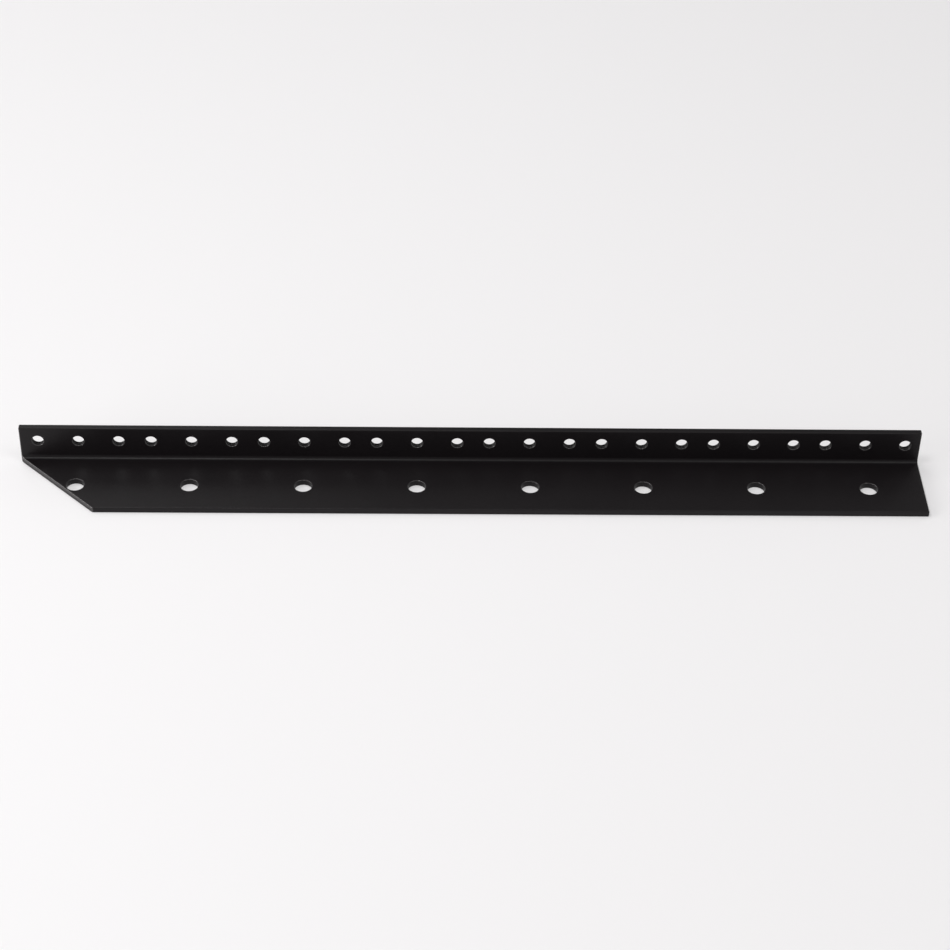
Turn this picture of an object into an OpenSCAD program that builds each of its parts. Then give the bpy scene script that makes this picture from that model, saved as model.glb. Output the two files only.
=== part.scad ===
// Rack rail: one strip of steel bent into an angle, holed at rack spacing, cropped at one end.
// The side leg lies flat and the panel leg stands up along its back edge.
// X runs along the rail and Z is up. The origin is under the middle of the rail's box.

/* [Length] */
// Number of rack units that the rail holds
units = 8; // [2:1:16]
// Height of one rack unit
rack_unit = 44.45; // [44:0.05:50]
// Length that the rail has beyond its rack units, shared by both ends
spare_length = 0.4; // [0:0.1:10]

/* [Section] */
// Width of the leg that lies against the cabinet's side
side_leg = 33.4; // [31:0.1:50]
// Width of the leg that the panels are screwed to
panel_leg = 17; // [16:0.1:25]
// Thickness of the steel
thickness = 2.5; // [1.5:0.1:3]
// Radius inside the bend
bend_r = 1.5; // [0.5:0.1:2]
// Radius on the long free edges
edge_r = 0.4; // [0.1:0.05:0.6]

/* [Rack holes] */
// Diameter of the rack holes, which is the core of their screw thread
rack_hole_d = 5; // [4:0.1:6]
// Step between the three rack holes of one unit
rack_step = 15.875; // [14:0.005:16]
// Distance from the rack holes' centres to the panel leg's free edge
rack_edge = 6.2; // [5:0.1:8]
// Distance from the left end to the centre of the first rack hole
first_hole = 7.1; // [6.9:0.1:9]

/* [Fixing holes] */
// Diameter of the plain holes for the screws that hold the rail
fixing_hole_d = 7.4; // [5:0.1:7.6]
// Distance from the fixing holes' centres to the panel leg's outer face
fixing_back = 19.4; // [17:0.1:20]

/* [Cropped corner] */
// Angle of the crop, between its face and the rail's length
crop_angle = 45; // [45:1:60]

/* [Hidden] */
round_fn = 96;
past = 1;                                   // how far a cutter runs past the face it cuts
coat_colour = [0.09, 0.09, 0.095];
rail_length = units * rack_unit + spare_length;
left = -rail_length / 2;
front = -side_leg / 2;
back = side_leg / 2;
outer_bend_r = bend_r + thickness;
rack_hole_z = panel_leg - rack_edge;
fixing_hole_y = back - fixing_back;
crop_start_y = back - thickness;            // the crop starts at the panel leg's inner face

rail();

// The whole rail, one solid
module rail() {
    color(coat_colour)
    difference() {
        along_x(rail_length) section();
        rack_holes();
        fixing_holes();
        cropped_corner();
    }
}

// Carries a section, drawn with Y to the right and Z up, along the rail's length
module along_x(length) {
    translate([-length / 2, 0, 0])
        rotate([90, 0, 90])
            linear_extrude(height = length)
                children();
}

// Cross-section of the bent strip: two straight legs and the quarter ring that joins them
module section() {
    bend_centre = [back - outer_bend_r, outer_bend_r];
    translate([front, 0]) strip_2d(side_leg - outer_bend_r);
    translate([back - thickness, panel_leg]) rotate(270) strip_2d(panel_leg - outer_bend_r);
    difference() {
        intersection() {
            translate(bend_centre) circle(r = outer_bend_r, $fn = round_fn);
            translate([bend_centre.x, 0]) square(outer_bend_r);
        }
        translate(bend_centre) circle(r = bend_r, $fn = round_fn);
    }
}

// One straight leg of the section, from its free end with both corners rounded to the bend
module strip_2d(length) {
    translate([edge_r, 0]) square([length - edge_r, thickness]);
    translate([0, edge_r]) square([length, thickness - 2 * edge_r]);
    for (y = [edge_r, thickness - edge_r])
        translate([edge_r, y]) circle(r = edge_r, $fn = round_fn);
}

// The threaded holes: three to each unit, through the panel leg
module rack_holes() {
    for (unit = [0 : units - 1], hole = [0 : 2])
        translate([left + first_hole + unit * rack_unit + hole * rack_step, back + past, rack_hole_z])
            rotate([90, 0, 0])
                cylinder(d = rack_hole_d, h = thickness + 2 * past, $fn = round_fn);
}

// The plain holes: one to each unit, through the side leg, in line with the unit's middle rack hole
module fixing_holes() {
    for (unit = [0 : units - 1])
        translate([left + first_hole + rack_step + unit * rack_unit, fixing_hole_y, -past])
            cylinder(d = fixing_hole_d, h = thickness + 2 * past, $fn = round_fn);
}

// The corner cut off the side leg's left end, from the panel leg's inner face to the free edge
module cropped_corner() {
    slope = tan(crop_angle);
    reach = (crop_start_y - front) / slope;
    translate([left, 0, -past])
        linear_extrude(height = panel_leg + 2 * past)
            polygon([
                [-past, crop_start_y + past * slope],
                [-past, front - past],
                [reach + past / slope, front - past]
            ]);
}
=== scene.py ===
# Rack rail: a strip of steel bent into an angle, drilled, threaded, cropped at one end and coated black
from math import pi, radians

import bpy
import numpy as np
from mathutils import Matrix, Vector


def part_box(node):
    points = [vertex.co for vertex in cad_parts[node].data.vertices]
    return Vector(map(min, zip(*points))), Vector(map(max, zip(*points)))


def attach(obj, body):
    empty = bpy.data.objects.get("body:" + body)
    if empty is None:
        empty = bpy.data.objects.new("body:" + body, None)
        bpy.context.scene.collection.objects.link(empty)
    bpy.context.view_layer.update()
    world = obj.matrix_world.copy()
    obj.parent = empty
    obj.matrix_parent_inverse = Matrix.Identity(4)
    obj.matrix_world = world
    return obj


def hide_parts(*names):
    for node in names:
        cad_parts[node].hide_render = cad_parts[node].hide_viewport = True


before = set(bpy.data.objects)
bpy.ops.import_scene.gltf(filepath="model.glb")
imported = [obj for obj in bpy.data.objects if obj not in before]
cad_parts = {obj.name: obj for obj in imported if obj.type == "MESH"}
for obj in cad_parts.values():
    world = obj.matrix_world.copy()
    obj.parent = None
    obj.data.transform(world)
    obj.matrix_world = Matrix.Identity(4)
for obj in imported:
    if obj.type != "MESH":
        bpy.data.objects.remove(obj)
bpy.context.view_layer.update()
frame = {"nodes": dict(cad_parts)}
mm = 0.001                                      # m
print("frame loaded:", ", ".join(frame["nodes"]))


# Camera

view = {
    "lens": 91.99,                              # mm, on a sensor 36 mm wide
    "place": (-0.02177, -0.73591, 0.60835),     # m
    "turn": -1.7802,                            # degrees about Z
    "tilt": -39.2772,                           # degrees from level
    "roll": -1.4442,                            # degrees about the line of sight
}
levelTilt = 90                                  # degrees, because an unturned camera looks straight down


def addCamera():
    data = bpy.data.cameras.new("camera")
    data.lens = view["lens"]
    camera = bpy.data.objects.new("camera", data)
    bpy.context.scene.collection.objects.link(camera)
    turn = Matrix.Rotation(radians(view["turn"]), 4, "Z")
    tilt = Matrix.Rotation(radians(levelTilt + view["tilt"]), 4, "X")
    roll = Matrix.Rotation(radians(-view["roll"]), 4, "Z")
    camera.matrix_world = Matrix.Translation(view["place"]) @ turn @ tilt @ roll
    bpy.context.scene.camera = camera


addCamera()
print("camera placed")


# Rail, all sizes in millimetres

rail = {
    "thickness": 2.5,           # of the steel
    "bendRadius": 1.5,          # inside the bend
    "freeEdgeRadius": 0.4,      # on the two long free edges
    "endRadius": 0.36,          # round the ends and the crop
    "rimRadius": 0.2,           # round the holes
    "cropSoftness": 0.3,        # half the width of the rounding where the crop begins
    "rackUnits": 8,
    "rackUnit": 44.45,          # height of one unit
    "rackStep": 15.875,         # between the rack holes of one unit
    "firstHole": 7.1,           # from the left end to the first rack hole
    "rackHoleHeight": 10.8,     # above the underside
    "rackHoleRadius": 2.32,     # to the thread's crests, inside the coat
    "threadPitch": 1.0,
    "threadDepth": 0.45,
    "threadCrest": 0.25,        # flat of the crest, as a share of the pitch
    "threadRoot": 0.125,        # flat of the root, as a share of the pitch
    "threadRunOut": 0.35,       # over which the groove fades out towards each rim
    "fixingHoleBack": 19.4,     # from the panel leg's outer face
    "fixingHoleRadius": 3.5,    # inside the coat
    # How thin the coat is, from 0 where it is whole to 1; its lighter colour is partly real wear, partly a
    # painted highlight
    "longEdgeWearAndHighlight": 0.04,       # on the two long free edges
    "cutEdgeWearAndHighlight": 0.9,         # round the ends and the crop
    "cutFaceWearAndHighlight": 0.65,        # on the cut faces, at the side where the shear went in
    "rimWear": 1.0,             # round the holes
    "crestWearAndHighlight": 0.15,          # on the thread's crests
    # Steps of the grids
    "cellSteps": 16,            # along X for each rack hole
    "panelSteps": 16,           # up the panel leg's faces
    "sideSteps": 48,            # across the side leg's faces
    "bendSteps": 12,            # round the bend
    "cornerSteps": 5,           # in a quarter turn on a long free edge
    "edgeSteps": 2,             # on the flat between two such quarter turns
    "rimSteps": 4,              # in a quarter turn round a hole or an end
    "threadSteps": 18,          # down a threaded wall
    "wallSteps": 2,             # down a plain wall
    "weldSteps": 1e4,           # to the millimetre, for telling which points are in one place
}
holesPerUnit = 3
middleHole = 1                                  # counted from 0; a fixing hole is in line with it

lowCorner, highCorner = (np.array(corner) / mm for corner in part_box("rail"))
left, front, _ = lowCorner
right, back, top = highCorner
thickness, endRadius, rimRadius = rail["thickness"], rail["endRadius"], rail["rimRadius"]
inside = back - thickness                       # Y of the panel leg's inner face
bendY = inside - rail["bendRadius"]             # centre of the bend
bendZ = thickness + rail["bendRadius"]

unitNumber, holeNumber = np.divmod(np.arange(holesPerUnit * rail["rackUnits"]), holesPerUnit)
rackHoleX = left + rail["firstHole"] + unitNumber * rail["rackUnit"] + holeNumber * rail["rackStep"]
fixingHoleX = rackHoleX[middleHole::holesPerUnit]

# Cells end half way between neighbouring rack holes, and the stations divide each cell evenly along X
cellEnds = np.concatenate([[left + endRadius], (rackHoleX[1:] + rackHoleX[:-1]) / 2, [right - endRadius]])
cellShares = np.arange(rail["cellSteps"]) / rail["cellSteps"]
stations = np.append(cellEnds[:-1, None] + np.diff(cellEnds)[:, None] * cellShares, right - endRadius)
firstUnitEnd = cellEnds[holesPerUnit]


def arc(centre, radius, fromAngle, toAngle, steps, hollow=False):
    # Points are centre + radius * (cos a, sin a), with a in even steps. Normals are (cos a, sin a), or the
    # opposite on a hollow arc.
    angle = np.radians(np.linspace(fromAngle, toAngle, steps + 1))
    ray = np.stack([np.cos(angle), np.sin(angle)], axis=1)
    return np.array(centre) + radius * ray, -ray if hollow else ray


def line(start, end, steps, normal):
    # Points are start * (1 - share) + end * share, with the share in even steps from 0 to 1
    share = np.linspace(0, 1, steps + 1)[:, None]
    points = np.array(start) * (1 - share) + np.array(end) * share
    return points, np.tile(np.array(normal, float), (steps + 1, 1))


def chain(*stretches):
    # Points and normals of stretches end to end, where each begins at the last point of the one before
    first, *others = stretches
    return tuple(np.concatenate([first[part]] + [other[part][1:] for other in others]) for part in (0, 1))


def flip(stretch):
    return stretch[0][::-1], stretch[1][::-1]


def sectionOutline():
    # The section in Y and Z with its normals, clockwise from the underside's front: straight lines and
    # quarter turns
    edge, bend = rail["freeEdgeRadius"], rail["bendRadius"]
    corner, flat, turn = rail["cornerSteps"], rail["edgeSteps"], rail["bendSteps"]
    up, across = rail["panelSteps"], rail["sideSteps"]
    return {
        "frontEdge": chain(
            arc((front + edge, edge), edge, 270, 180, corner),
            line((front, edge), (front, thickness - edge), flat, (-1, 0)),
            arc((front + edge, thickness - edge), edge, 180, 90, corner)),
        "sideTop": line((front + edge, thickness), (bendY, thickness), across, (0, 1)),
        "innerBend": arc((bendY, bendZ), bend, 270, 360, turn, hollow=True),
        "panelInside": line((inside, bendZ), (inside, top - edge), up, (-1, 0)),
        "topEdge": chain(
            arc((inside + edge, top - edge), edge, 180, 90, corner),
            line((inside + edge, top), (back - edge, top), flat, (0, 1)),
            arc((back - edge, top - edge), edge, 90, 0, corner)),
        "panelOutside": line((back, top - edge), (back, bendZ), up, (1, 0)),
        "outerBend": arc((bendY, bendZ), bend + thickness, 0, -90, turn),
        "sideUnder": line((bendY, 0), (front + edge, 0), across, (0, -1)),
    }


def cropAt(y):
    # How far the 45 degree crop sets the left end back, and its slope: as far as y is in front of the inner
    # face, with a parabola that rounds the change
    soft = rail["cropSoftness"]
    past = inside - y
    slope = np.clip((past + soft) / (2 * soft), 0, 1)
    return np.where(past > soft, past, slope ** 2 * soft), slope


def alongRail(station, y):
    # X of a station at y: the first unit's stations are squeezed evenly between the crop and that unit's end
    depth, slope = cropAt(y)
    start = left + depth + np.hypot(1, slope) * endRadius
    squeeze = (firstUnitEnd - start) / (firstUnitEnd - left - endRadius)
    return np.where(station < firstUnitEnd, firstUnitEnd - (firstUnitEnd - station) * squeeze, station)


def spread(*parts):
    # Arrays of X, Y and Z, broadcast to one shape and put side by side
    return np.stack(np.broadcast_arrays(*parts), axis=-1)


def sweepStretch(stretch, edgeWearAndHighlight=0):
    # The stretch's Y and Z at every station, with X from alongRail. Wear, whose lighter colour is partly a
    # painted highlight, goes by the sine of twice the normal's angle, which is greatest half way round a
    # quarter turn.
    (y, z), normal = stretch[0].T, stretch[1]
    points = spread(alongRail(stations[:, None], y), y, z)
    return {
        "points": points,
        "normals": np.broadcast_to(np.pad(normal, ((0, 0), (1, 0))), points.shape),
        "wearAndHighlight": edgeWearAndHighlight * 2 * np.abs(normal[:, 0] * normal[:, 1]),
    }


def onSideLeg(x, across, depth):
    # A point of the side leg from its X, its Y and its depth below the upper face
    return spread(x, across, thickness - depth)


def onPanelLeg(x, height, depth):
    # A point of the panel leg from its X, its Z and its depth behind the inner face
    return spread(x, inside + depth, height)


def cellOutlines(lay, perCell, across, depth):
    # Each cell's outline at the points that its neighbours have, anticlockwise from the low left corner:
    # along the low side, up the right end, back along the high side and down the left end
    start = np.arange(0, len(stations) - 1, perCell)[:, None]
    steps, ones = np.arange(perCell), np.ones(perCell)
    upOrDown = (len(start), len(across) - 1)
    station = np.concatenate([
        stations[start + steps],
        np.broadcast_to(stations[start + perCell], upOrDown),
        stations[start + perCell - steps],
        np.broadcast_to(stations[start], upOrDown)], axis=1)
    height = np.concatenate([across[0] * ones, across[:-1], across[-1] * ones, across[:0:-1]])
    points = lay(station, height, depth)
    points[..., 0] = alongRail(station, points[..., 1])
    return points, height


def wallProfile(wallSteps):
    # Down the hole, a quarter turn, a line and a quarter turn: distance behind the radius, depth and wear,
    # whose lighter colour is partly a painted highlight on the rims
    turn = np.radians(np.linspace(0, 90, rail["rimSteps"] + 1))
    away, depth = rimRadius * (1 - np.sin(turn)), rimRadius * (1 - np.cos(turn))
    wearAndHighlight = rail["rimWear"] * np.sin(2 * turn)
    middle = np.linspace(rimRadius, thickness - rimRadius, wallSteps + 1)[1:-1]
    return (np.concatenate([away, 0 * middle, away[::-1]]),
            np.concatenate([depth, middle, (thickness - depth)[::-1]]),
            np.concatenate([wearAndHighlight, 0 * middle, wearAndHighlight[::-1]]))


def threadGroove(angle, depth):
    # A right-hand helix: 0 on the crest's flat and 1 on the root's, with straight flanks between, faded out
    # towards the rims
    turns = depth / rail["threadPitch"] + angle / (2 * pi)
    fromCrest = np.abs(turns - np.round(turns))
    crestEnd, rootStart = rail["threadCrest"] / 2, (1 - rail["threadRoot"]) / 2
    groove = np.clip((fromCrest - crestEnd) / (rootStart - crestEnd), 0, 1)
    fromRim = np.minimum(depth, thickness - depth) - rimRadius
    return groove * np.clip(fromRim / rail["threadRunOut"], 0, 1)


def holedLeg(lay, perCell, across, centreX, centreHeight, radius, threaded):
    # Each face of each cell runs in rays from the rim's circle to the cell's outline, and the wall joins the
    # circles of the two faces
    outerOutline, height = cellOutlines(lay, perCell, across, thickness)
    innerOutline, _ = cellOutlines(lay, perCell, across, 0)
    angle = np.arctan2(height - centreHeight, outerOutline[..., 0] - centreX[:, None])[..., None]
    away, depth, wearAndHighlight = wallProfile(rail["threadSteps"] if threaded else rail["wallSteps"])
    wallRadius = radius + away
    if threaded:
        groove = threadGroove(angle, depth)
        wallRadius = wallRadius + rail["threadDepth"] * groove
        # Crest wear: a lighter colour on the thread's crests, partly real wear and partly a painted glint
        wearAndHighlight = wearAndHighlight + rail["crestWearAndHighlight"] * (1 - groove) * (away == 0)
    wallX = centreX[:, None, None] + wallRadius * np.cos(angle)
    wallHeight = centreHeight + wallRadius * np.sin(angle)
    wall = lay(wallX, wallHeight, depth)
    innerFace = np.stack([wall[:, :, 0], innerOutline], axis=2)
    outerFace = np.stack([wall[:, :, -1], outerOutline], axis=2)
    outwards = lay(0.0, 0.0, 1.0) - lay(0.0, 0.0, 0.0)
    innerNormals = np.broadcast_to(-outwards, innerFace.shape)
    outerNormals = np.broadcast_to(outwards, outerFace.shape)
    return [
        {"points": innerFace, "normals": innerNormals, "closed": True, "turned": True},
        {"points": outerFace, "normals": outerNormals, "closed": True},
        {"points": wall, "wearAndHighlight": wearAndHighlight, "closed": True},
    ]


def endPoints(y, z, gap, atLeft):
    # Points of an end that stand back from its face by the gap, measured square to that face
    depth, slope = cropAt(y)
    return spread(left + depth + np.hypot(1, slope) * gap if atLeft else right - gap, y, z)


def railEnd(section, atLeft):
    # A quarter turn all round the section, and a flat cap across it from the inner faces to the outer faces
    turn = np.radians(np.linspace(0, 90, rail["rimSteps"] + 1))[:, None]
    outline, normal = chain(*section.values())
    inset = outline[None] - normal[None] * (endRadius * (1 - np.cos(turn)))[..., None]
    rounding = endPoints(inset[..., 0], inset[..., 1], endRadius * (1 - np.sin(turn)), atLeft)
    # Wear round the end's rounding: partly real thin coat, partly a painted highlight along the cut edges
    roundingWearAndHighlight = rail["cutEdgeWearAndHighlight"] * np.sin(2 * turn)

    def insetChain(*stretches):
        points, normals = chain(*stretches)
        return points - normals * endRadius

    inner = insetChain(section["sideTop"], section["innerBend"], section["panelInside"])
    outer = insetChain(section["panelOutside"], section["outerBend"], section["sideUnder"])[::-1]
    frontChain, topChain = insetChain(flip(section["frontEdge"])), insetChain(section["topEdge"])
    fall = frontChain[0, 1] - frontChain[:, 1]
    share = (fall / fall[-1])[:, None]                  # 0 at the inner faces and 1 at the outer faces
    cap = inner[:, None] * (1 - share) + outer[:, None] * share
    cap[0], cap[-1] = frontChain, topChain
    slope = cropAt(cap[..., 0])[1] if atLeft else 0 * cap[..., 0]
    facing = spread(-1.0 if atLeft else 1.0, -slope, 0.0) / np.hypot(1, slope)[..., None]
    # Wear on the cut face, greatest next to the inner faces: partly real, partly a painted light band under
    # the cut edge
    capWearAndHighlight = np.broadcast_to(rail["cutFaceWearAndHighlight"] * (1 - share[:, 0]) ** 2, cap.shape[:2])
    capPoints = endPoints(cap[..., 0], cap[..., 1], 0, atLeft)
    if atLeft:
        rounding, roundingWearAndHighlight = rounding[::-1], roundingWearAndHighlight[::-1]
    return [
        {"points": rounding, "wearAndHighlight": roundingWearAndHighlight},
        {"points": capPoints, "normals": facing, "turned": not atLeft, "wearAndHighlight": capWearAndHighlight},
    ]


def gridFaces(shape, closed, turned):
    # Quads between neighbours of a stack of grids, the last row joined to the first if closed
    number = np.arange(np.prod(shape)).reshape(shape)
    after = np.roll(number, -1, axis=1)
    if not closed:
        number, after = number[:, :-1], after[:, :-1]
    corners = [number[..., :-1], after[..., :-1], after[..., 1:], number[..., 1:]]
    quads = np.stack(corners, axis=-1).reshape(-1, 4)
    return quads[:, ::-1] if turned else quads


def weldPatches(patches):
    # All patches in one list of points, faces, normals and wear with its painted highlight, with points in
    # the same place made one
    points, faces, normals, wearAndHighlight = [], [], [], []
    for patch in patches:
        grid = patch["points"].reshape((-1,) + patch["points"].shape[-3:])
        quads = gridFaces(grid.shape[:3], patch.get("closed", False), patch.get("turned", False))
        faces.append(quads + sum(len(p) for p in points))
        points.append(grid.reshape(-1, 3))
        normals.append(patch.get("normals", np.zeros(grid.shape)).reshape(-1, 3))
        wearAndHighlight.append(np.broadcast_to(patch.get("wearAndHighlight", 0.0), grid.shape[:3]).ravel())
    points, faces, normals, wearAndHighlight = (np.concatenate(part) for part in (points, faces, normals, wearAndHighlight))
    places = np.round(points * rail["weldSteps"]).astype(np.int64)
    _, first, index = np.unique(places, axis=0, return_index=True, return_inverse=True)
    index = index.ravel()
    known = normals.any(axis=1)
    weldedNormals = np.zeros((len(first), 3))
    weldedNormals[index[known]] = normals[known]
    weldedWearAndHighlight = np.zeros(len(first))
    np.maximum.at(weldedWearAndHighlight, index, wearAndHighlight)
    return points[first] * mm, index[faces], weldedNormals, weldedWearAndHighlight


def buildRail():
    section = sectionOutline()
    acrossSide, upPanel = section["sideTop"][0][:, 0], section["panelInside"][0][:, 1]
    patches = [sweepStretch(section[name], rail["longEdgeWearAndHighlight"]) for name in ("frontEdge", "topEdge")]
    patches += [sweepStretch(section[name]) for name in ("innerBend", "outerBend")]
    patches += holedLeg(onSideLeg, holesPerUnit * rail["cellSteps"], acrossSide, fixingHoleX,
                        back - rail["fixingHoleBack"], rail["fixingHoleRadius"], threaded=False)
    patches += holedLeg(onPanelLeg, rail["cellSteps"], upPanel, rackHoleX,
                        rail["rackHoleHeight"], rail["rackHoleRadius"], threaded=True)
    patches += railEnd(section, atLeft=True) + railEnd(section, atLeft=False)
    points, faces, normals, wearAndHighlight = weldPatches(patches)
    mesh = bpy.data.meshes.new("rackRail")
    mesh.from_pydata(points, [], faces)
    mesh.shade_smooth()
    mesh.normals_split_custom_set_from_vertices(normals)
    # The wear attribute: where the coat is lighter, partly real wear and partly a painted highlight
    mesh.attributes.new("wearAndHighlight", "FLOAT", "POINT").data.foreach_set("value", wearAndHighlight.astype(np.float32))
    piece = bpy.data.objects.new("rackRail", mesh)
    bpy.context.scene.collection.objects.link(piece)
    print("rail built:", len(mesh.vertices), "points,", len(mesh.polygons), "faces")
    return piece


# Black powder coat

coat = {
    "colour": (0.0068, 0.0054, 0.0061, 1),
    "dusty": (0.0084, 0.0067, 0.0075, 1),       # in cloudy patches
    "thinCoatAndHighlight": (0.105, 0.100, 0.101, 1),           # where the steel shows through the coat over an edge, and a painted highlight on edges, rims and crests
    "thinMetal": 0.6,                           # how metallic it is there
    "thinSmoother": 0.22,                       # taken off the roughness there
    "shine": 0.20,                              # reflectivity, where 0.5 is a plain dielectric
    "roughness": 0.38,
    "roughnessSwing": 0.05,                     # up in the cloudy patches and down between them
    "peelHeight": 0.035,                        # mm
    "grainShare": 0.60,                         # the grain's height, as a share of the peel's
    # Scale and detail of each noise
    "cloud": (40, 2),                           # patches about 25 mm wide
    "break": (900, 3),                          # breaks the thin coat and its painted highlight up in bits about 1 mm long
    "peel": (620, 1),                           # orange peel about 1.6 mm wide
    "grain": (4200, 2),                         # about 0.2 mm wide
}
noiseMiddle = 0.5                               # what a noise is on average


class Wire:
    # A socket of a node tree. The signs + - * between wires and numbers add Math nodes to the tree.
    def __init__(self, socket):
        self.socket = socket

    def node(self, kind, settings, inputs, output=0):
        tree = self.socket.id_data
        made = tree.nodes.new(kind)
        for name, value in settings.items():
            setattr(made, name, value)
        for name, value in inputs.items():
            if isinstance(value, Wire):
                tree.links.new(value.socket, made.inputs[name])
            else:
                made.inputs[name].default_value = value
        return Wire(made.outputs[output])

    def maths(self, operation, first, second):
        return self.node("ShaderNodeMath", {"operation": operation}, {0: first, 1: second})

    def __add__(self, other):
        return self.maths("ADD", self, other)

    def __sub__(self, other):
        return self.maths("SUBTRACT", self, other)

    def __rsub__(self, other):
        return self.maths("SUBTRACT", other, self)

    def __mul__(self, other):
        return self.maths("MULTIPLY", self, other)

    __radd__ = __add__
    __rmul__ = __mul__


def newMaterial(name):
    # A material and its surface shader
    material = bpy.data.materials.new(name)
    material.use_nodes = True
    return material, material.node_tree.nodes["Principled BSDF"]


def noise(place, scale, detail):
    return place.node("ShaderNodeTexNoise", {}, {"Vector": place, "Scale": scale, "Detail": detail})


def blend(factor, first, second):
    # In a Mix node the factor is socket 0, two colours are sockets 6 and 7, and their blend is output 2
    return factor.node("ShaderNodeMix", {"data_type": "RGBA"}, {0: factor, 6: first, 7: second}, 2)


def blackCoat():
    material, shader = newMaterial("blackCoat")
    tree = material.node_tree
    place = Wire(tree.nodes.new("ShaderNodeTexCoord").outputs["Object"])
    cloud = noise(place, *coat["cloud"])
    wearAndHighlight = place.node("ShaderNodeAttribute", {"attribute_name": "wearAndHighlight"}, {}, "Fac")
    # Where the coat is thin and where a highlight is painted: the wear, broken up in bits
    thinCoatAndHighlight = wearAndHighlight * (noiseMiddle + noise(place, *coat["break"]))
    colour = blend(cloud, coat["colour"], coat["dusty"])
    # A lighter, part-metallic grey there: partly real thin coat, partly a painted highlight
    colour = blend(thinCoatAndHighlight, colour, coat["thinCoatAndHighlight"])
    height = noise(place, *coat["peel"]) + noise(place, *coat["grain"]) * coat["grainShare"]
    bump = place.node("ShaderNodeBump", {}, {"Distance": coat["peelHeight"] * mm, "Height": height})
    swing = (cloud - noiseMiddle) * (2 * coat["roughnessSwing"])
    roughness = coat["roughness"] + swing - thinCoatAndHighlight * coat["thinSmoother"]
    tree.links.new(colour.socket, shader.inputs["Base Color"])
    tree.links.new(roughness.socket, shader.inputs["Roughness"])
    tree.links.new((thinCoatAndHighlight * coat["thinMetal"]).socket, shader.inputs["Metallic"])
    tree.links.new(bump.socket, shader.inputs["Normal"])
    shader.inputs["Specular IOR Level"].default_value = coat["shine"]
    return material


rackRail = buildRail()
rackRail.data.materials.append(blackCoat())
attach(rackRail, "root")
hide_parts("rail")
print("coat applied")


# Floor and light

studio = {
    "floorColour": (0.600, 0.591, 0.595, 1),
    "floorGlow": 0.300,         # light that the floor gives by itself, as a lit table does
    "floorSize": 8.0,           # m
    "roomLight": 0.25,
}

# Each softbox faces the rail: its middle and its side in metres, and how bright it looks from the rail
softboxes = {
    "left": {"middle": (-1.20, 0.05, 0.65), "side": 0.60, "glow": 4.0},
    "leftLow": {"middle": (-1.10, -0.45, 0.40), "side": 0.40, "glow": 6.8},
    "frontLow": {"middle": (-0.75, -0.62, 0.14), "side": 0.30, "glow": 6.5},
    "highLeft": {"middle": (-0.28, -0.30, 1.15), "side": 0.30, "glow": 12.5},
    "highRight": {"middle": (0.50, -0.35, 1.05), "side": 0.36, "glow": 4.6},
    "highBack": {"middle": (-0.40, 0.40, 1.10), "side": 0.60, "glow": 2.2},
    "backLeft": {"middle": (-0.45, 1.00, 0.60), "side": 0.60, "glow": 0.95},
    "backRight": {"middle": (0.90, 0.95, 0.50), "side": 0.50, "glow": 2.2},
    "frontRight": {"middle": (0.70, -0.90, 0.70), "side": 0.50, "glow": 1.15},
}


def buildFloor():
    # A matt square that mirrors nothing; its glow is floorGlow, in the floor's own colour
    half = studio["floorSize"] / 2
    corners = [(-half, -half, 0), (half, -half, 0), (half, half, 0), (-half, half, 0)]
    mesh = bpy.data.meshes.new("floor")
    mesh.from_pydata(corners, [], [(0, 1, 2, 3)])
    floor = bpy.data.objects.new("floor", mesh)
    bpy.context.scene.collection.objects.link(floor)
    material, shader = newMaterial("paleFloor")
    shader.inputs["Base Color"].default_value = studio["floorColour"]
    shader.inputs["Roughness"].default_value = 1
    shader.inputs["Specular IOR Level"].default_value = 0
    shader.inputs["Emission Color"].default_value = studio["floorColour"]
    shader.inputs["Emission Strength"].default_value = studio["floorGlow"] / studio["floorColour"][1]
    mesh.materials.append(material)


def addRoomLight():
    world = bpy.data.worlds.new("room")
    world.use_nodes = True
    background = world.node_tree.nodes["Background"]
    background.inputs["Color"].default_value = (1, 1, 1, 1)
    background.inputs["Strength"].default_value = studio["roomLight"]
    bpy.context.scene.world = world


def addSoftbox(name, settings):
    # The power in watts is glow * pi * the box's area
    data = bpy.data.lights.new(name, "AREA")
    data.size = settings["side"]
    data.energy = settings["glow"] * pi * settings["side"] ** 2
    box = bpy.data.objects.new(name, data)
    box.location = settings["middle"]
    box.rotation_mode = "QUATERNION"
    box.rotation_quaternion = (-Vector(settings["middle"])).to_track_quat("-Z", "Y")
    bpy.context.scene.collection.objects.link(box)


buildFloor()
addRoomLight()
for name, settings in softboxes.items():
    addSoftbox(name, settings)
bpy.context.scene.view_settings.view_transform = "Standard"
print("floor and light placed")
